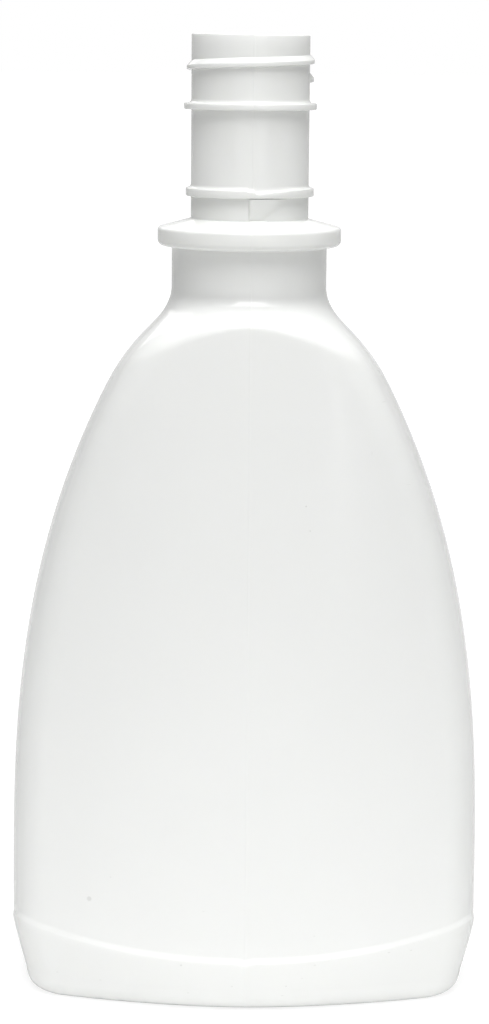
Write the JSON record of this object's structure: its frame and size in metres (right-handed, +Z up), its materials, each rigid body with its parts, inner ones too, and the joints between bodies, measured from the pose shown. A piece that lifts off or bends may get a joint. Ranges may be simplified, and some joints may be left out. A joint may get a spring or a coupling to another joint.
{
  "type": "mouthwash bottle",
  "caption": "White blow-moulded mouthwash bottle with flat convex panels, an arched shoulder and an open threaded neck.",
  "frame": {"origin": "centre of the bottle's foot, on the surface it stands on", "axes": "+Z up through the mouth, +X across the wide body, -Y towards the front panel"},
  "size_m": [0.1028, 0.0614, 0.207],
  "materials": {
    "bottle_plastic": "glossy"
  },
  "bodies": {
    "root": {"bottle": "bottle_plastic"}
  },
  "joints": []
}
